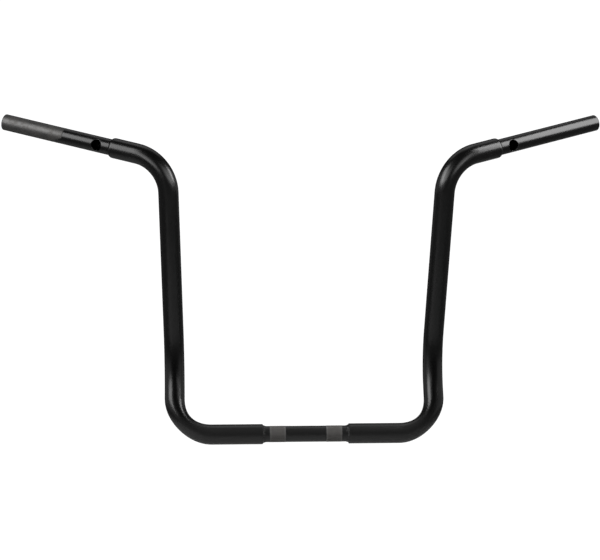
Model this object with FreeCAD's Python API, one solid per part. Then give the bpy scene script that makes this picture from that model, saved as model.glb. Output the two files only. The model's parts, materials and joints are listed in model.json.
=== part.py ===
# Motorcycle handlebar, a tall welded one, in millimetres. The middle of the clamp tube is the origin,
# +X runs along the clamp tube to the clutch side, +Z is up and -Y is the front of the machine.
import FreeCAD
import Part
import math
import os

V = FreeCAD.Vector

# The two tube sizes
FAT_OD = 31.75            # the bent uprights
FAT_WALL = 3.175
SLIM_OD = 25.4            # the clamp tube and both grip tubes
SPIGOT_FIT = 0.2          # radial clearance of a slim tube's turned-down end inside an upright
SPIGOT_WALL = 2.85        # and the wall left there, which sets the slim tubes' bore
SPIGOT_SHORT = 4.0        # a grip's spigot ends this far before the upper bend

# The clamp tube
BAND_MIDDLE = 44.45       # half of the 88.9 mm spacing of the risers
BAND_WIDTH = 25.4
BAND_MARGIN = 6.85        # plain strip between a knurled band and the weld bead
KNURL_RISE = 0.2
EXIT_HOLE = 14.0          # for the wires, at the rear and below
EXIT_HOLE_DOWN = 45.0     # degrees below straight back

# The weld beads
CLAMP_WELD = 4.0          # length along the clamp tube
GRIP_WELD = 5.5           # length along a grip tube
WELD_TOE = 0.3            # thickness where a bead runs out
WELD_SET_BACK = 0.5       # how far the clamp bead stays inside the fat tube's surface
WELD_HOLLOW = 0.3         # where the middle of its hollow face lies, 0.5 being straight

# The run of one upright, from the clamp outwards
CORNER_X = 205.7          # middle to the lower corner
LOWER_OUT = -0.5          # lean of the lower leg, degrees outwards, so a little inwards
LOWER_BACK = 18.0         # and degrees to the rear
KNEE_Z = 114.0
UPPER_OUT = 2.2           # lean of the upper leg, degrees outwards
UPPER_BACK = -18.2        # and degrees to the rear, so this one leans forward
TOP_Z = 426.0
END_BACK = 21.7           # pull-back of the end, degrees
END_UP = 13.7             # rise of the end, degrees
END_RUN = 39.0            # straight run from the upper bend to the cut end
LOWER_BEND = 58.0         # centreline radii of the three bends
KNEE_BEND = 150.0
TOP_BEND = 59.0
FLATTENING = 0.14         # share of the diameter lost across the tight lower bend
FLATTENING_STEPS = 8      # spans of the surface around that bend

# The grip tubes
GRIP_LENGTH = 191.5       # upright's end to tip
WIRE_HOLE = 17.0
WIRE_HOLE_IN = 26.2       # upright's end to the hole's middle
WIRE_HOLE_DOWN = 14.6     # degrees below straight ahead
TIP_ROUND = 2.0
HOLE_EDGE = 0.6           # rounding of the outer rim of each drilled hole

FAT_R = FAT_OD / 2
FAT_BORE_R = FAT_R - FAT_WALL
SLIM_R = SLIM_OD / 2
SPIGOT_R = FAT_BORE_R - SPIGOT_FIT
SLIM_BORE_R = SPIGOT_R - SPIGOT_WALL
SLIM_WALL = SLIM_R - SLIM_BORE_R
SPIGOT_LENGTH = END_RUN - SPIGOT_SHORT
WELD_TOE_R = max(SLIM_R, SPIGOT_R) + WELD_TOE
CLAMP_HALF = BAND_MIDDLE + BAND_WIDTH / 2 + BAND_MARGIN + CLAMP_WELD
SIDES = {"throttle": -1, "clutch": 1}


def leaning(out, back):
    """Unit vector that points up, leaning outwards and to the rear by the given angles."""
    return V(math.tan(math.radians(out)), math.tan(math.radians(back)), 1).normalize()


def end_direction(side):
    """Unit vector along a grip, out to the tip."""
    back, up = math.radians(END_BACK), math.radians(END_UP)
    return V(side * math.cos(up) * math.cos(back), math.cos(up) * math.sin(back), math.sin(up))


def set_back(bend, before, after):
    """Distance from a corner to where its bend starts, for the two directions that meet there."""
    return bend * math.tan(before.getAngle(after) / 2)


def corners(side):
    """The upright's centreline as straight runs: cut end, lower corner, knee, upper corner, cut end."""
    corner = V(CORNER_X, 0, 0)
    lower = leaning(LOWER_OUT, LOWER_BACK)
    knee = corner + lower * (KNEE_Z / lower.z)
    upper = leaning(UPPER_OUT, UPPER_BACK)
    top = knee + upper * ((TOP_Z - KNEE_Z) / upper.z)
    along = end_direction(1)
    end = top + along * (set_back(TOP_BEND, upper, along) + END_RUN)
    return [V(side * p.x, p.y, p.z) for p in (V(CLAMP_HALF, 0, 0), corner, knee, top, end)]


def ring(radius, centre, along, seam):
    """Circle edge about the direction along, starting on its seam side."""
    edge = Part.makeCircle(radius)
    turn = FreeCAD.Rotation(seam, along.cross(seam), along, "ZXY")
    edge.Placement = FreeCAD.Placement(centre, turn)
    return edge


def flattened(share):
    """Change of the two half widths, in and across the bend, at a share of the way round it.

    The section keeps its girth, so what it loses in the plane of the bend it gains across it.
    """
    inward = -FAT_R * FLATTENING * math.sin(math.pi * share) ** 2
    return inward, math.sqrt(2 * FAT_R ** 2 - (FAT_R + inward) ** 2) - FAT_R


def oval_bend(radius, start, pivot, axis, angle, seam, along):
    """Wall of a bend whose section turns oval towards the middle and round again.

    A section is an ellipse, as nine poles on the square around it. Each pole follows the bend in cubic
    spans, which have the true place and direction where they join.
    """
    inward = (pivot - start).normalize()
    across = along.cross(seam)

    def place(spoke, share):
        grow_in, grow_across = flattened(share)
        arm = start - pivot + inward * (spoke.dot(inward) * (radius + grow_in))
        lift = axis * (spoke.dot(axis) * (radius + grow_across))
        return pivot + FreeCAD.Rotation(axis, angle * share).multVec(arm) + lift

    def track(spoke):
        small = 1e-5
        poles = [place(spoke, 0)]
        for k in range(FLATTENING_STEPS + 1):
            share = k / FLATTENING_STEPS
            slope = (place(spoke, share + small) - place(spoke, share - small)) * (1 / (2 * small))
            reach = slope * (1 / (3 * FLATTENING_STEPS))
            poles += [place(spoke, share) - reach, place(spoke, share) + reach]
        return poles[:1] + poles[2:-1] + [place(spoke, 1)]

    square = [(1, 0), (1, 1), (0, 1), (-1, 1), (-1, 0), (-1, -1), (0, -1), (1, -1), (1, 0)]
    poles = [track(seam * i + across * j) for i, j in square]
    weights = [[math.sqrt(0.5) if i and j else 1.0] * len(poles[0]) for i, j in square]
    knots = [k / FLATTENING_STEPS for k in range(FLATTENING_STEPS + 1)]
    surface = Part.BSplineSurface()
    surface.buildFromPolesMultsKnots(poles, [3, 2, 2, 2, 3], [4] + [2] * (FLATTENING_STEPS - 1) + [4],
                                     [0, 1, 2, 3, 4], knots, False, False, 2, 3, weights)
    return surface.toShape()


def tube_wall(points, radius):
    """Faces of one wall of an upright, with the rings that bound its two ends."""
    bends = [(LOWER_BEND, True), (KNEE_BEND, False), (TOP_BEND, False)]
    here = points[0]
    along = (points[1] - points[0]).normalize()
    seam = V(0, 1, 0)
    first = ring(radius, here, along, seam)
    faces = []
    for number, (bend, oval) in enumerate(bends):
        corner, beyond = points[number + 1], points[number + 2]
        leaving = (beyond - corner).normalize()
        angle = math.degrees(along.getAngle(leaving))
        start = corner - along * set_back(bend, along, leaving)
        axis = along.cross(leaving).normalize()
        pivot = start + axis.cross(along) * bend
        faces.append(ring(radius, here, along, seam).extrude(start - here))
        if oval:
            faces.append(oval_bend(radius, start, pivot, axis, angle, seam, along))
        else:
            faces.append(ring(radius, start, along, seam).revolve(pivot, axis, angle))
        here = corner + leaving * set_back(bend, along, leaving)
        along = leaving
        seam = FreeCAD.Rotation(axis, angle).multVec(seam)
    faces.append(ring(radius, here, along, seam).extrude(points[-1] - here))
    return faces, first, ring(radius, points[-1], along, seam)


def upright(side):
    """Bent fat tube: outer wall, inner wall and the two cut ends between them, sewn into a solid."""
    points = corners(side)
    outer, outer_first, outer_last = tube_wall(points, FAT_R)
    inner, inner_first, inner_last = tube_wall(points, FAT_BORE_R)
    caps = []
    for edge, hole in ((outer_first, inner_first), (outer_last, inner_last)):
        caps.append(Part.Face(Part.Wire(edge)).cut(Part.Face(Part.Wire(hole))).Faces[0])
    skin = Part.makeCompound(outer + inner + caps)
    skin.sewShape()
    return Part.makeSolid(skin.Shells[0])


def stood(shape, at, along):
    """The shape with its own Z axis laid along a direction from a point."""
    shape.Placement = FreeCAD.Placement(at, FreeCAD.Rotation(V(0, 0, 1), along))
    return shape


def turned(profile, at, along):
    """Solid of revolution: the profile lists (distance along, radius) from a point on the axis."""
    wire = Part.makePolygon([V(r, 0, s) for s, r in profile + profile[:1]])
    return stood(Part.Face(wire).revolve(V(0, 0, 0), V(0, 0, 1), 360), at, along)


def drilled(tube, diameter, at, facing):
    """The tube with a hole through one wall, from a point on its axis outwards, and its outer rim rounded."""
    holed = tube.cut(Part.makeCylinder(diameter / 2, SLIM_OD, at, facing)).Solids[0]
    near = [e for e in holed.Edges if e.BoundBox.Center.distanceToPoint(at + facing * SLIM_R) < SLIM_WALL]
    rim = max(near, key=lambda e: e.BoundBox.Center.sub(at).dot(facing))
    return holed.makeFillet(HOLE_EDGE, [rim]).Solids[0]


def clamp_tube():
    """Slim tube across the middle: two raised bands for the risers, two spigots, and the wires' exit."""
    shoulder = CLAMP_HALF - CLAMP_WELD
    tip = CLAMP_HALF + SPIGOT_LENGTH
    band_in = BAND_MIDDLE - BAND_WIDTH / 2
    band_out = BAND_MIDDLE + BAND_WIDTH / 2
    band_r = SLIM_R + KNURL_RISE
    half = [(band_in, SLIM_R), (band_in, band_r), (band_out, band_r), (band_out, SLIM_R),
            (shoulder, SLIM_R), (shoulder, SPIGOT_R), (tip, SPIGOT_R), (tip, SLIM_BORE_R)]
    tube = turned([(-s, r) for s, r in reversed(half)] + half, V(0, 0, 0), V(1, 0, 0))
    down = math.radians(EXIT_HOLE_DOWN)
    return drilled(tube, EXIT_HOLE, V(0, 0, 0), V(0, math.cos(down), -math.sin(down)))


def grip_tube(side):
    """Slim tube at one end: spigot, grip length with its wiring hole, and a rounded tip."""
    along = end_direction(side)
    root = corners(side)[-1]
    tip = root + along * GRIP_LENGTH
    profile = [(-SPIGOT_LENGTH, SLIM_BORE_R), (-SPIGOT_LENGTH, SPIGOT_R), (GRIP_WELD, SPIGOT_R),
               (GRIP_WELD, SLIM_R), (GRIP_LENGTH, SLIM_R), (GRIP_LENGTH, SLIM_BORE_R)]
    tube = turned(profile, root, along)
    at_tip = [e for e in tube.Edges if e.CenterOfMass.distanceToPoint(tip) < TIP_ROUND / 2]
    tube = tube.makeFillet(TIP_ROUND, [max(at_tip, key=lambda e: e.Length)])
    ahead = (V(0, -1, 0) + along * along.y).normalize()
    above = ahead.cross(along) * side
    down = math.radians(WIRE_HOLE_DOWN)
    facing = ahead * math.cos(down) - above * math.sin(down)
    return drilled(tube, WIRE_HOLE, root + along * WIRE_HOLE_IN, facing)


def bead(length, top, middle, at, along):
    """Ring of weld metal on a spigot: a straight back and foot, and one arc from its top to its toe."""
    foot, crest, toe, end = V(SPIGOT_R, 0, 0), V(top, 0, 0), V(WELD_TOE_R, 0, length), V(SPIGOT_R, 0, length)
    edges = [Part.makeLine(foot, crest), Part.Arc(crest, middle, toe).toShape(),
             Part.makeLine(toe, end), Part.makeLine(end, foot)]
    return stood(Part.Face(Part.Wire(edges)).revolve(V(0, 0, 0), V(0, 0, 1), 360), at, along)


def clamp_weld(side):
    """Hollow fillet between the upright's cut end and the clamp tube."""
    top = FAT_R - WELD_SET_BACK
    middle = V(WELD_TOE_R + (top - WELD_TOE_R) * WELD_HOLLOW, 0, CLAMP_WELD * WELD_HOLLOW)
    return bead(CLAMP_WELD, top, middle, corners(side)[0], V(-side, 0, 0))


def grip_weld(side):
    """Dressed shoulder from the upright's full diameter down to the grip: an arc tangent to the upright."""
    drop = FAT_R - WELD_TOE_R
    radius = (GRIP_WELD ** 2 + drop ** 2) / (2 * drop)
    half_turn = math.asin(GRIP_WELD / radius) / 2
    middle = V(FAT_R - radius * (1 - math.cos(half_turn)), 0, radius * math.sin(half_turn))
    return bead(GRIP_WELD, FAT_R, middle, corners(side)[-1], end_direction(side))


nodes = {"clamp_tube": clamp_tube()}
for name, side in SIDES.items():
    nodes[name + "_upright"] = upright(side)
    nodes[name + "_grip_tube"] = grip_tube(side)
    nodes[name + "_clamp_weld"] = clamp_weld(side)
    nodes[name + "_grip_weld"] = grip_weld(side)

os.makedirs("parts", exist_ok=True)
for name, shape in nodes.items():
    shape.exportStep("parts/" + name + ".step")
    print(name, shape.ShapeType, "valid", shape.isValid(), "volume", round(shape.Volume, 1), "mm3")
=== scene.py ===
# %% [markdown]
# A tall handlebar for a motorcycle, dressed for a photograph. The solids come from CAD and stay the frame of
# everything here: five tubes and four weld beads, in metres, with the middle of the clamp tube at the origin.
# The picture is taken from the front of the machine, so the throttle end is on its left.

# %% The frame
import json
import math

import bmesh
import bpy
import numpy as np
from mathutils import Matrix, Vector


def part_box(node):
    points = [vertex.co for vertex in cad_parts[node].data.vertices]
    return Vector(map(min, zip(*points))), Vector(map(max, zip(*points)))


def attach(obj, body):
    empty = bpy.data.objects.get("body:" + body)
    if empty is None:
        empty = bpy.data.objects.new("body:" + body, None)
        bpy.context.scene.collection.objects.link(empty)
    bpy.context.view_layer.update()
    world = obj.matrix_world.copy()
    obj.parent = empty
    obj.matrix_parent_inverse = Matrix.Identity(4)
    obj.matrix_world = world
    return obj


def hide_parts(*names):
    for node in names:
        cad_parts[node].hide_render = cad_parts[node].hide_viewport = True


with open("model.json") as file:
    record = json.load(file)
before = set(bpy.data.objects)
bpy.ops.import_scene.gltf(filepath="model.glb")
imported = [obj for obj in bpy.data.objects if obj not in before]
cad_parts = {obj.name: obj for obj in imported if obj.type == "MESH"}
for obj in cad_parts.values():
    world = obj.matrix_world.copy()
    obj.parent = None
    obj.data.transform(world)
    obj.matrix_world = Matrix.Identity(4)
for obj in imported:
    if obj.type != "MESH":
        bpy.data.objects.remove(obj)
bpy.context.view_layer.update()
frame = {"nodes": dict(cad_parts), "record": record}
print("nodes:", ", ".join(sorted(frame["nodes"])))

# %% [markdown]
# The sizes that the looks need are read back from the frame instead of being written again, wherever it has
# them. Mounts give the radii and the line of the throttle grip, and the boxes of the clamp tube and its weld
# give the steps along it.

# %% Sizes from the frame
MM = 0.001
mounts = {mount["name"]: mount for mount in frame["record"]["mounts"]}
KNURL_R = mounts["riser_clamp"]["dims"]["r_mm"] * MM
BAND_OUT = mounts["riser_clamp"]["dims"]["length_mm"] * MM / 2
TUBE_R = mounts["throttle_grip_seat"]["dims"]["r_mm"] * MM
BORE_R = mounts["throttle_bar_end"]["dims"]["r_mm"] * MM
CLAMP_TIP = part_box("clamp_tube")[1].x
WELD_TOE_X, WELD_BACK_X = (corner.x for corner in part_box("clutch_clamp_weld"))
WELD_TOP_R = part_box("clutch_clamp_weld")[1].z
grip_tip = np.array(mounts["throttle_bar_end"]["pos_m"])
grip_along = np.array(mounts["throttle_bar_end"]["axis"])
print(f"tube radius {TUBE_R / MM:.2f} mm, bore {BORE_R / MM:.2f} mm, knurl {KNURL_R / MM:.2f} mm")

# %% [markdown]
# The camera comes first, so that every later choice can be judged in the photograph's own frame. It stands
# three and a half metres in front of the bar, a little to the throttle side, and looks level with a long lens.
# Its place and turn come from fitting the bar's centrelines to their places in the picture.

# %% Camera
CAMERA_AT = (-0.2634, -3.52, 0.242)
LENS, SENSOR = 134.58, 36
YAW, ROLL = math.radians(-4.15), math.radians(-0.22)
camera_data = bpy.data.cameras.new("camera")
camera_data.sensor_width = SENSOR
camera_data.lens = LENS
camera = bpy.data.objects.new("camera", camera_data)
level = Matrix.Rotation(YAW, 4, "Z") @ Matrix.Rotation(math.radians(90), 4, "X")
camera.matrix_world = Matrix.Translation(CAMERA_AT) @ level @ Matrix.Rotation(ROLL, 4, "Z")
bpy.context.scene.collection.objects.link(camera)
bpy.context.scene.camera = camera
print("camera at", [round(value, 3) for value in camera.matrix_world.translation])

# %% [markdown]
# Every new piece is made of sheets: a sheet is a grid of points that a formula gives, in rows that close on
# themselves. One helper turns sheets into a mesh, joins the points where sheets meet, turns the faces outwards
# and marks the true corners sharp, so that round walls shade smoothly and cut edges stay crisp.

# %% Sheets into meshes
JOIN_DISTANCE = 1e-7


def sheet_faces(rows, columns, first):
    """Quads between neighbouring rows of a grid whose columns close on themselves, as one array."""
    row, column = np.meshgrid(np.arange(rows - 1), np.arange(columns), indexing="ij")
    beside = (column + 1) % columns
    quads = [row * columns + column, row * columns + beside,
             (row + 1) * columns + beside, (row + 1) * columns + column]
    return first + np.stack(quads, axis=-1).reshape(-1, 4)


def make_piece(name, sheets, sharp_angle):
    """Joins sheets, each an array (rows, columns, 3), into one closed mesh object at the origin."""
    points = np.concatenate([sheet.reshape(-1, 3) for sheet in sheets])
    starts = np.cumsum([0] + [sheet.shape[0] * sheet.shape[1] for sheet in sheets])
    quads = np.concatenate([sheet_faces(*sheet.shape[:2], first) for sheet, first in zip(sheets, starts)])
    mesh = bpy.data.meshes.new(name)
    mesh.from_pydata(points.tolist(), [], quads.tolist())
    shell = bmesh.new()
    shell.from_mesh(mesh)
    bmesh.ops.remove_doubles(shell, verts=shell.verts, dist=JOIN_DISTANCE)
    bmesh.ops.recalc_face_normals(shell, faces=shell.faces)
    open_edges = sum(not edge.is_manifold for edge in shell.edges)
    shell.to_mesh(mesh)
    shell.free()
    mesh.polygons.foreach_set("use_smooth", np.ones(len(mesh.polygons), bool))
    mesh.set_sharp_from_angle(angle=math.radians(sharp_angle))
    piece = bpy.data.objects.new(name, mesh)
    bpy.context.scene.collection.objects.link(piece)
    print(f"{name}: {len(mesh.polygons)} faces, {open_edges} open edges")
    return piece


# %% [markdown]
# The clamp tube carries two knurled bands, which the risers bite into. A knurling wheel rolls two families of
# grooves into the steel, one leaning each way, and leaves rows of small blunt diamonds. A bump map would do from
# afar, but the bands are bare metal and their glitter comes from real facets, so they are cut into the mesh.
# The grid has four points per diamond both ways, so that each groove runs along the grid's own diagonals. Its
# columns start opposite the hole for the wires, where the next step needs its seam.

# %% Knurl
BAND_WIDTH = 25.4 * MM
BAND_IN = BAND_OUT - BAND_WIDTH
BAND_FADE = 0.5 * MM
DIAMONDS_AROUND = 60
DIAMONDS_ALONG = 19
POINTS_PER_DIAMOND = 4
KNURL_DEPTH = 0.36 * MM
BLUNT = 1.35
COLUMNS = DIAMONDS_AROUND * POINTS_PER_DIAMOND
HOLE_ANGLE = math.radians(-45)
turn = HOLE_ANGLE - math.pi + 2 * math.pi * np.arange(COLUMNS) / COLUMNS


def knurl(count):
    """Height from 0 to 1 over a band of count rows: the lower of two slanted triangle waves, with flat tops."""
    row, column = np.meshgrid(np.arange(count), np.arange(COLUMNS), indexing="ij")
    leaning_one_way = np.abs(2 * ((column + row) / POINTS_PER_DIAMOND % 1) - 1)
    leaning_the_other = np.abs(2 * ((column - row) / POINTS_PER_DIAMOND % 1) - 1)
    return np.minimum(1, BLUNT * np.minimum(leaning_one_way, leaning_the_other))


def rings(x, radius):
    """Rings about the X axis: at angle a, the point is (x, radius cos a, radius sin a)."""
    x, radius = np.broadcast_arrays(x, radius)
    return np.stack([x, radius * np.cos(turn), radius * np.sin(turn)], axis=-1)


band_rows = DIAMONDS_ALONG * POINTS_PER_DIAMOND + 1
band_x = np.linspace(BAND_IN, BAND_OUT, band_rows)[:, None]
fade = np.clip(np.minimum(band_x - BAND_IN, BAND_OUT - band_x) / BAND_FADE, 0, 1)
band_r = TUBE_R + fade * (KNURL_R - TUBE_R - KNURL_DEPTH * (1 - knurl(band_rows)))
print(f"knurl pitch {2 * math.pi * KNURL_R / DIAMONDS_AROUND / MM:.2f} mm around")

# %% [markdown]
# Outside the bands the tube is plain, and its ends are turned down to slide into the uprights. The short middle
# stretch has the hole for the wires, low at the rear. A tube with a hole can't be one plain grid of rings, so
# this stretch is unrolled: its four borders are one closed line, and every point of that line is joined to the
# hole's rim by a straight row. Rolled up again, the same rows go over the rounded rim and through the wall.

# %% Clamp tube
SPIGOT_R = 12.5 * MM
HOLE_R = 7.0 * MM
HOLE_EDGE = 0.6 * MM
SEAM_POINTS = 40
PLAIN_ROWS = 12
ROW_CROWDING = 1.5
EDGE_ROWS = 5


def end_of_tube(side):
    """Rings of one half, from the inner end of its band out to the tip and back along the bore."""
    steps = [(WELD_TOE_X, TUBE_R), (WELD_TOE_X, SPIGOT_R), (CLAMP_TIP, SPIGOT_R), (CLAMP_TIP, BORE_R),
             (BAND_IN, BORE_R)]
    plain = [rings(x, np.full(COLUMNS, radius)) for x, radius in steps]
    return np.concatenate([rings(band_x, band_r), np.stack(plain)]) * [side, 1, 1]


def unrolled_border():
    """The middle stretch's outline as (distance along, angle from the hole), once round from corner to corner."""
    angle = turn - HOLE_ANGLE
    along = np.linspace(-BAND_IN, BAND_IN, SEAM_POINTS, endpoint=False)
    first_end = np.stack([np.full(COLUMNS, -BAND_IN), angle], axis=-1)
    return np.concatenate([first_end, np.stack([along, np.full(SEAM_POINTS, math.pi)], axis=-1),
                           -first_end, np.stack([-along, np.full(SEAM_POINTS, -math.pi)], axis=-1)])


def rolled(along, angle, radius):
    """A point of the unrolled sheet, back on the tube of the given radius."""
    return np.stack([along, radius * np.cos(angle + HOLE_ANGLE), radius * np.sin(angle + HOLE_ANGLE)], axis=-1)


def middle_of_tube():
    """The stretch with the hole: in from the outer border, over the rim, through the wall, out along the bore.

    A rim point lies at the hole's radius from the hole's axis, in the direction of its border point. The rows
    between border and rim crowd towards the rim, as a power of their even share of the way.
    """
    along, angle = unrolled_border().T
    heading = np.arctan2(angle * TUBE_R, along)

    def rim(hole_r, tube_r):
        return hole_r * np.cos(heading), np.arcsin(hole_r * np.sin(heading) / tube_r)

    def between(share, hole_r, tube_r):
        rim_along, rim_angle = rim(hole_r, tube_r)
        return rolled(rim_along + share * (along - rim_along), rim_angle + share * (angle - rim_angle), tube_r)

    share = np.linspace(1, 0, PLAIN_ROWS)[:, None] ** ROW_CROWDING
    over = np.linspace(0, math.pi / 2, EDGE_ROWS)[:, None]
    over_r = TUBE_R - HOLE_EDGE * (1 - np.cos(over))
    edge = rolled(*rim(HOLE_R + HOLE_EDGE * (1 - np.sin(over)), over_r), over_r)
    return np.concatenate([between(share, HOLE_R + HOLE_EDGE, TUBE_R), edge,
                           between(share[::-1], HOLE_R, BORE_R)])


tube_sheets = [end_of_tube(1), end_of_tube(-1), middle_of_tube()]
clamp_tube = make_piece("knurled_clamp_tube", tube_sheets, sharp_angle=35)
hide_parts("clamp_tube")
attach(clamp_tube, "root")

# %% [markdown]
# The weld beads at the clamp tube were left as they were laid, and the paint went over them. A welder moves in
# small steps, and each step freezes as a thin crescent on the one before. So the bead is the CAD's hollow fillet,
# here a quarter of an ellipse that leaves the cut end squarely and runs out along the clamp tube. A saw wave goes
# around it, bent back towards its edges, and slow waves make its width and height uneven.

# %% Weld beads
CRESCENTS = 26
POINTS_PER_CRESCENT = 14
CRESCENT_RISE = 0.45 * MM
CRESCENT_BEND = 0.8
CRESCENT_PEAK = 0.8  # share of a step where the saw wave turns down
CRESCENT_MEAN = 0.3  # height on the saw wave that lies on the plain fillet
UNEVEN = 0.4 * MM
SLOW_WAVES = ((5, 1.0, 1), (11, 0.7, 2), (23, 0.5, 0))  # waves around, height, phase
TOE_SPREAD = 0.4
HUMP_POWER = 0.4
FACE_ROWS = 18
BEAD_COLUMNS = CRESCENTS * POINTS_PER_CRESCENT
WELD_TOE_R = 13.0 * MM


def weld_bead(side):
    """Face from top to toe, a hollow quarter ellipse that the crescents push outwards, and then its foot.

    The push is the saw wave plus the slow waves, times a hump that is 0 at the top and the toe. The toe creeps
    along the clamp tube by the slow waves and their own full height, so it only ever creeps outwards.
    """
    share = np.linspace(0, 1, FACE_ROWS)[:, None]
    angle = 2 * np.pi * np.arange(BEAD_COLUMNS) / BEAD_COLUMNS
    step = (CRESCENTS * angle / (2 * np.pi) + CRESCENT_BEND * (2 * share - 1) ** 2) % 1
    crescent = np.where(step < CRESCENT_PEAK, step / CRESCENT_PEAK, (1 - step) / (1 - CRESCENT_PEAK))
    slow = sum(tall * np.sin(waves * angle + phase * side) for waves, tall, phase in SLOW_WAVES)
    slow_height = sum(tall for waves, tall, phase in SLOW_WAVES)
    hump = np.sin(np.pi * share) ** HUMP_POWER
    out = hump * (CRESCENT_RISE * (crescent - CRESCENT_MEAN) + UNEVEN / 2 * slow)
    fall, run = WELD_TOP_R - WELD_TOE_R, WELD_BACK_X - WELD_TOE_X
    round_off = np.pi / 2 * share
    toe = UNEVEN * (slow + slow_height) * share * TOE_SPREAD
    face_r = WELD_TOP_R - fall * np.sin(round_off) + out * np.sin(round_off)
    face_x = WELD_BACK_X - run * (1 - np.cos(round_off)) - out * np.cos(round_off) - toe
    foot_x = np.stack([face_x[-1], np.full(BEAD_COLUMNS, WELD_BACK_X), face_x[0]])
    foot_r = np.stack([np.full(BEAD_COLUMNS, SPIGOT_R), np.full(BEAD_COLUMNS, SPIGOT_R), face_r[0]])
    x, radius = np.concatenate([face_x, foot_x]), np.concatenate([face_r, foot_r])
    return np.stack([side * x, radius * np.cos(angle), radius * np.sin(angle)], axis=-1)


weld_pieces = []
for name, side in (("throttle", -1), ("clutch", 1)):
    bead = make_piece(name + "_rippled_weld", [weld_bead(side)], sharp_angle=50)
    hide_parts(name + "_clamp_weld")
    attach(bead, "root")
    weld_pieces.append(bead)

# %% [markdown]
# Finishes are written as sums. This class holds one socket of a material, and Python's operators on it add Math
# nodes, so a pattern reads like the formula that it is. Its node method adds any other node: settings first,
# because some of them change which sockets a node has, and then the values or links of the sockets.


# %% Shader sums
class Field:
    """A value, vector or colour that varies over a surface, held as the socket that gives it."""

    def __init__(self, tree, socket=None):
        self.tree = tree
        self.socket = socket

    def node(self, kind, settings, inputs, output=0):
        """Adds one shader node; an input that is a field is linked, and any other is set."""
        made = self.tree.nodes.new("ShaderNode" + kind)
        for name, value in settings.items():
            setattr(made, name, value)
        for name, value in inputs.items():
            if isinstance(value, Field):
                self.tree.links.new(value.socket, made.inputs[name])
            else:
                made.inputs[name].default_value = value
        return Field(self.tree, made.outputs[output])

    def math(self, operation, *values):
        """One Math node with these values, in order."""
        return self.node("Math", {"operation": operation}, dict(enumerate(values)))

    def __add__(self, other):
        return self.math("ADD", self, other)

    def __sub__(self, other):
        return self.math("SUBTRACT", self, other)

    def __rsub__(self, other):
        return self.math("SUBTRACT", other, self)

    def __mul__(self, other):
        return self.math("MULTIPLY", self, other)

    def __truediv__(self, other):
        return self.math("DIVIDE", self, other)

    def __pow__(self, other):
        return self.math("POWER", self, other)

    __radd__ = __add__
    __rmul__ = __mul__

    def dot(self, direction):
        """Length of this vector along a direction."""
        inputs = {0: self, 1: tuple(direction)}
        return self.node("VectorMath", {"operation": "DOT_PRODUCT"}, inputs, "Value")

    def rise(self, start, end):
        """0 before start and 1 after end, with a smooth step between; start may be the larger one."""
        low, high = min(start, end), max(start, end)
        inputs = {"Value": self, "From Min": low, "From Max": high, "To Min": float(start > end),
                  "To Max": float(start < end)}
        return self.node("MapRange", {"interpolation_type": "SMOOTHSTEP"}, inputs)

    def noise(self, scale, detail=2.0, rough=0.5):
        """Cloudy pattern from about 0.2 to 0.8, with scale lumps to the metre."""
        inputs = {"Vector": self, "Scale": scale, "Detail": detail, "Roughness": rough}
        return self.node("TexNoise", {}, inputs)

    def mix(self, first, second):
        """First colour where this field is 0, second where it is 1."""
        inputs = {0: self, 6: first, 7: second}
        return self.node("Mix", {"data_type": "RGBA"}, inputs, 2)

    def stretch(self, along, across):
        """Place for a pattern that is drawn out by along on the grip's own line and by across beside it."""
        turn_to_line = Vector((0, 0, 1)).rotation_difference(Vector(grip_along)).to_euler()
        inputs = {"Vector": self, "Rotation": turn_to_line, "Scale": (across, across, along)}
        return self.node("Mapping", {"vector_type": "TEXTURE"}, inputs)


def grey(level, warmth=0.0):
    """Colour of a grey, a touch warmer or cooler."""
    return (level * (1 + warmth), level, level * (1 - warmth), 1)


# %% [markdown]
# The black coat is powder that was melted on: a deep black with a satin skin. Up close the skin has orange peel,
# low swells a millimetre or two wide, and a little dust caught in it. Seen from a step away, only the way the
# highlights break up gives that away, so most of the detail goes into roughness and bump and little into colour.
# The lowest run, across the clamp, is duller than the legs, and its colour is painted greyer as painted light, so
# the coat changes with height.

# %% Black coat
DULL_AND_LIT_TOP, DULL_AND_LIT_BOTTOM = 40 * MM, 0.0
DEEP_BLACK, PAINTED_LIGHT_BLACK = grey(0.0003), grey(0.0185)
PEEL_HEIGHT = 2e-6


def black_coat(position):
    """Powder coat: colour, roughness, metal share and height in metres.

    Haze greys the black a little in slow patches. The low-run share greys it nearly all the way as painted light,
    and makes it duller, being 1 at the lowest run.
    """
    peel = position.noise(scale=420, detail=1.0)
    haze = position.noise(scale=16, detail=4.0, rough=0.6)
    dull_and_lit_low = position.dot((0, 0, 1)).rise(DULL_AND_LIT_TOP, DULL_AND_LIT_BOTTOM)
    # The lowest run's colour is painted greyer as painted light; its extra roughness is a really duller coat.
    return {"colour": (0.08 * haze + 0.9 * dull_and_lit_low).mix(DEEP_BLACK, PAINTED_LIGHT_BLACK),
            "roughness": 0.22 + 0.06 * haze + 0.02 * peel + 0.12 * dull_and_lit_low,
            "metal": 0.0,
            "height": peel * PEEL_HEIGHT}


# %% [markdown]
# Two kinds of steel show where there is no coat. The grip's bare stretch was only belt-ground, so it has fine marks
# around it, which a stretched noise gives, and stains where it was handled. The bands are scuffed bright on the
# crests of their diamonds and are darker, rougher and less metallic in the grooves: the mesh has both crests and
# grooves, so height above the grooves' bottom tells the two apart, and nothing has to be drawn.

# %% Steel
BELT_MARKS, BELT_LENGTHS = 2400, 60  # to the metre: marks along the grip, and lengths of mark around it
BELT_HEIGHT, PIT_DEPTH, GRAIN_HEIGHT = 3e-6, 4e-6, 4e-6


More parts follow.
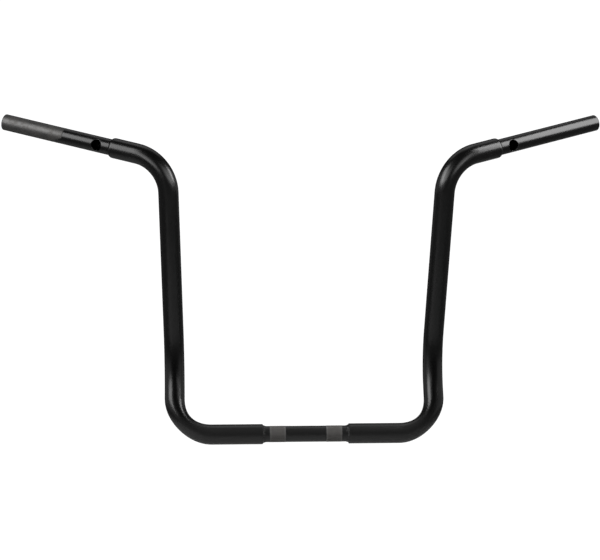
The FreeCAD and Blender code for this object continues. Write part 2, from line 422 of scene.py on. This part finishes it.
def bare_steel(position):
    """Tube that was never painted: fine marks around it from the belt, and stains in soft patches.

    The colour goes from clean to stained grey with the stain, and part of the way to dark with the specks.
    """
    drawn_out = position.stretch(along=1 / BELT_MARKS, across=1 / BELT_LENGTHS)
    belt = drawn_out.noise(scale=1.0, detail=3.0, rough=0.65)
    patch = position.noise(scale=70, detail=5.0, rough=0.62)
    speck = position.noise(scale=420, detail=3.0, rough=0.6).rise(0.52, 0.70)
    stain = patch.rise(0.40, 0.66)
    colour = stain.mix(grey(0.108, 0.01), grey(0.082, 0.04))
    return {"colour": (speck * 0.3).mix(colour, grey(0.07, 0.04)),
            "roughness": 0.44 + 0.06 * patch + 0.08 * belt + 0.05 * stain,
            "metal": 1 - 0.35 * stain,
            "height": belt * BELT_HEIGHT + speck * -PIT_DEPTH}


def knurled_steel(position, relief):
    """The bands: scuffed steel on the crests of the diamonds, and darker, rougher steel in the grooves.

    The groove share fills what lies low, where relief plus half the patch is small, and is 0 on the crests.
    """
    patch = position.noise(scale=90, detail=4.0, rough=0.6)
    # Darker, rougher and less metallic steel where the relief is low, in the grooves.
    in_grooves = (relief + 0.5 * patch).rise(0.95, 0.35)
    colour = patch.mix(grey(0.150, 0.05), grey(0.180, 0.03))
    return {"colour": (in_grooves * 0.5).mix(colour, grey(0.090, 0.04)),
            "roughness": 0.62 + 0.1 * in_grooves + 0.1 * patch,
            "metal": 0.5 - 0.3 * in_grooves,
            "height": position.noise(scale=3000) * GRAIN_HEIGHT}


# %% [markdown]
# A finish is four things that vary from place to place: colour, roughness, metal share and height. Two finishes
# are laid over each other by one cover, so paint and steel meet along one and the same edge in all four. The
# finished look is then linked to a shader, and what is the same everywhere is set there as a number.


# %% Painting
def layered(below, above, cover):
    """One finish over another: every property goes from below to above as cover goes from 0 to 1."""
    look = {key: below[key] + (above[key] - below[key]) * cover for key in ("roughness", "metal", "height")}
    look["colour"] = cover.mix(below["colour"], above["colour"])
    return look


def painted(name, make_look):
    """A material whose look is worked out from the place on the object."""
    material = bpy.data.materials.new(name)
    material.use_nodes = True
    tree = material.node_tree
    shader = tree.nodes["Principled BSDF"]
    position = Field(tree).node("TexCoord", {}, {}, "Object")
    look = make_look(position)
    bump = position.node("Bump", {}, {"Strength": 1.0, "Distance": 1.0, "Height": look["height"]})
    for socket, value in (("Base Color", look["colour"]), ("Roughness", look["roughness"]),
                          ("Metallic", look["metal"]), ("Normal", bump)):
        if isinstance(value, Field):
            tree.links.new(value.socket, shader.inputs[socket])
        else:
            shader.inputs[socket].default_value = value
    print(f"{name}: {len(tree.nodes)} shader nodes")
    return material


# %% [markdown]
# Three materials share those finishes. The tubes are coated all over. The clamp tube is coated but for its bands,
# which are rubbed a little brighter at their ends. On the throttle side the paint stops before the last stretch,
# where the sleeve turns on bare metal: its edge is a little wavy, the steel is darker in a thin line along it, and
# underneath a run of paint has crept past it.

# %% Materials
BAND_WAVE = 0.8 * MM
BAND_SOFT = 0.5 * MM
RUBBED_FROM, RUBBED_TO = 4 * MM, 1 * MM  # distances from a band's end
SKIN_FROM, SKIN_TO = TUBE_R - 0.5 * MM, TUBE_R - 0.3 * MM  # radii below the grooves, to leave out the bore
PAINT_EDGE = 106 * MM
EDGE_WAVE = 1.4 * MM
EDGE_SOFT = 0.35 * MM
EDGE_LINE = 1.6 * MM
FILM = 0.06 * MM
RUN_LENGTH = 17 * MM
RUN_FROM, RUN_TO = 3 * MM, 10 * MM  # depths below the grip's axis
below_grip = np.cross(grip_along, np.cross((0, 0, -1), grip_along))
below_grip /= np.linalg.norm(below_grip)


def clamp_look(position):
    """Coat, and the bands where the distance along the tube lies between their ends.

    The radius is the root of y squared plus z squared. Relief is how far it is above the grooves' bottom, as a
    share of their depth, and the skin leaves the inside of the tube coated.
    """
    x, y, z = (position.dot(axis) for axis in ((1, 0, 0), (0, 1, 0), (0, 0, 1)))
    radius = (y * y + z * z) ** 0.5
    relief = (radius - (KNURL_R - KNURL_DEPTH)) / KNURL_DEPTH
    along = position.math("ABSOLUTE", x) + (position.noise(scale=500) - 0.5) * BAND_WAVE
    on_band = along.rise(BAND_IN, BAND_IN + BAND_SOFT) * along.rise(BAND_OUT, BAND_OUT - BAND_SOFT)
    rubbed = (along.rise(BAND_IN + RUBBED_FROM, BAND_IN + RUBBED_TO)
              + along.rise(BAND_OUT - RUBBED_FROM, BAND_OUT - RUBBED_TO))
    bands = knurled_steel(position, relief)
    bands["colour"] = (0.3 * rubbed).mix(bands["colour"], grey(0.26))
    return layered(black_coat(position), bands, on_band * radius.rise(SKIN_FROM, SKIN_TO))


def throttle_look(position):
    """Bare steel from the tip to the paint's edge, and coat beyond it.

    How far a place lies past the edge is its distance from the tip, plus a wave, plus the run's length where the
    paint ran, minus the edge's own distance. Coat covers what is past 0, a film's thickness higher.
    """
    from_tip = float(np.dot(grip_tip, grip_along)) - position.dot(grip_along)
    beneath = position.dot(below_grip) - float(np.dot(grip_tip, below_grip))
    run = beneath.rise(RUN_FROM, RUN_TO) * position.noise(scale=210, detail=3.0).rise(0.3, 0.6)
    wave = (position.noise(scale=240, detail=3.0) - 0.5) * EDGE_WAVE
    past_edge = from_tip + wave + run * RUN_LENGTH - PAINT_EDGE
    cover = past_edge.rise(-EDGE_SOFT, EDGE_SOFT)
    steel = bare_steel(position)
    # A thin dark line on the steel just short of the paint's edge.
    steel["colour"] = (past_edge.rise(-EDGE_LINE, 0.0) * 0.8).mix(steel["colour"], grey(0.02))
    look = layered(steel, black_coat(position), cover)
    look["height"] = look["height"] + cover * FILM
    return look


coat = painted("black_powder_coat", black_coat)
clamp_finish = painted("coat_and_knurled_steel", clamp_look)
throttle_finish = painted("coat_and_bare_steel", throttle_look)
clamp_tube.data.materials.append(clamp_finish)
for bead in weld_pieces:
    bead.data.materials.append(coat)
for name, node in frame["nodes"].items():
    for slot in node.material_slots:
        slot.material = throttle_finish if name == "throttle_grip_tube" else coat

# %% [markdown]
# A black satin bar shows little but what it mirrors, so the lamps are placed for their reflections. A soft box on
# each side, high and well round, draws the long highlights along the grips and down the lower legs. Two panels
# stand close in front and are turned inwards, and the upper bends mirror them. Their grids keep them off the
# legs: these lean forward, mirror the dim floor instead and stay black. A faint box with a narrow grid greys the
# top of the lowest run, and a weak, wide one overhead rims whatever faces up. Soft edges matter more than shapes
# here, because a satin coat blurs what it mirrors.

# %% Lamps
NO_GRID, PANEL_GRID, NARROW_GRID = 180, 80, 36
BAR_MIDDLE = (0, 0, 0.25)
PANEL_AIM = Vector((0.515, 0.016, 0.652))


def soft_box(name, aim, azimuth, elevation, distance, size, power, spread=NO_GRID):
    """An area lamp aimed at a point; azimuth is from straight ahead of the bar towards the clutch side."""
    turn_to, lift = math.radians(azimuth), math.radians(elevation)
    towards = Vector((math.sin(turn_to) * math.cos(lift), -math.cos(turn_to) * math.cos(lift), math.sin(lift)))
    lamp_data = bpy.data.lights.new(name, "AREA")
    lamp_data.shape = "RECTANGLE"
    lamp_data.size, lamp_data.size_y = size
    lamp_data.energy = power
    lamp_data.spread = math.radians(spread)
    lamp = bpy.data.objects.new(name, lamp_data)
    lamp.location = Vector(aim) + towards * distance
    lamp.rotation_mode = "QUATERNION"
    lamp.rotation_quaternion = towards.to_track_quat("Z", "Y")
    lamp.visible_camera = False
    bpy.context.scene.collection.objects.link(lamp)
    print(f"{name}: {power} W at", [round(value, 2) for value in lamp.location])


soft_box("box_throttle_side", BAR_MIDDLE, azimuth=-62.7, elevation=28.2, distance=1.46, size=(0.9, 1.0), power=13.4)
soft_box("box_clutch_side", BAR_MIDDLE, azimuth=72.9, elevation=33.6, distance=0.81, size=(0.34, 0.44), power=3.7)
for name, side, power in (("panel_throttle_side", -1, 1.1), ("panel_clutch_side", 1, 0.85)):
    soft_box(name, PANEL_AIM * Vector((-side, 1, 1)), azimuth=48 * side, elevation=-5, distance=1.0,
             size=(0.8, 0.47), power=power, spread=PANEL_GRID)
soft_box("box_above_base", (0, 0, 0), azimuth=0, elevation=100, distance=1.5, size=(0.7, 1.1), power=0.06,
         spread=NARROW_GRID)
soft_box("box_overhead", (0, 0, 0.3), azimuth=0, elevation=112, distance=1.6, size=(1.6, 1.0), power=2.5)

# %% [markdown]
# The bar floats in white, as in a catalogue. A white sheet far behind it is all that the camera sees around the
# bar, and it glows a little more than white, so that it stays white all over. Everything else that the bar can
# mirror is out of the picture: a pale table beneath it, and a wide floor with a faint glow, which keeps the legs
# from going quite black.

# %% Stage
TABLE_Z, FLOOR_Z, FLOOR_REACH = -0.32, -0.9, 14
BACK_Y, BACK_TOP = 5.2, 1.5
PALE = 0.8
SHEET_ROUGHNESS, SHEET_SHINE = 0.9, 0.1


def stage_sheet(name, first, last, colour, glow):
    """A flat sheet of the studio, one quad between two opposite corners, lying level or standing along X."""
    mesh = bpy.data.meshes.new(name)
    corners = [first, (last[0], first[1], first[2]), last, (first[0], last[1], last[2])]
    mesh.from_pydata(corners, [], [(0, 1, 2, 3)])
    sheet = bpy.data.objects.new(name, mesh)
    bpy.context.scene.collection.objects.link(sheet)
    material = bpy.data.materials.new(name)
    material.use_nodes = True
    shader = material.node_tree.nodes["Principled BSDF"]
    shader.inputs["Base Color"].default_value = grey(colour)
    shader.inputs["Roughness"].default_value = SHEET_ROUGHNESS
    shader.inputs["Specular IOR Level"].default_value = SHEET_SHINE
    shader.inputs["Emission Color"].default_value = grey(1.0)
    shader.inputs["Emission Strength"].default_value = glow
    mesh.materials.append(material)
    print(f"{name}: colour {colour}, glow {glow}")


stage_sheet("table", (-0.9, -0.9, TABLE_Z), (0.9, 0.6, TABLE_Z), colour=PALE, glow=0.0)
stage_sheet("floor", (-FLOOR_REACH, -FLOOR_REACH, FLOOR_Z), (FLOOR_REACH, FLOOR_REACH, FLOOR_Z), colour=PALE,
            glow=0.04)
stage_sheet("white_backdrop", (-1.2, BACK_Y, FLOOR_Z), (1.95, BACK_Y, BACK_TOP), colour=0.0, glow=1.08)

# %% [markdown]
# The room is dark, because the front of the bar mirrors it. Only its two side walls are grey, from the floor to
# about half way up, and they draw the thin light edges down the legs. They are part of the world's colour and not
# sheets, since they are far away and have no edge that the coat could show.

# %% Walls of the room
ROOM, WALL = grey(0.04), grey(0.40)
world = bpy.data.worlds.new("studio")
world.use_nodes = True
direction = Field(world.node_tree).node("TexCoord", {}, {}, "Generated")
height, aside = direction.dot((0, 0, 1)), direction.math("ABSOLUTE", direction.dot((1, 0, 0)))
on_wall = height.rise(-0.3, 0.0) * height.rise(0.7, 0.3) * aside.rise(0.6, 0.9)
shade = on_wall.mix(ROOM, WALL)
world.node_tree.links.new(shade.socket, world.node_tree.nodes["Background"].inputs["Color"])
bpy.context.scene.world = world
bpy.context.scene.view_settings.view_transform = "Standard"
print("world:", len(world.node_tree.nodes), "nodes")
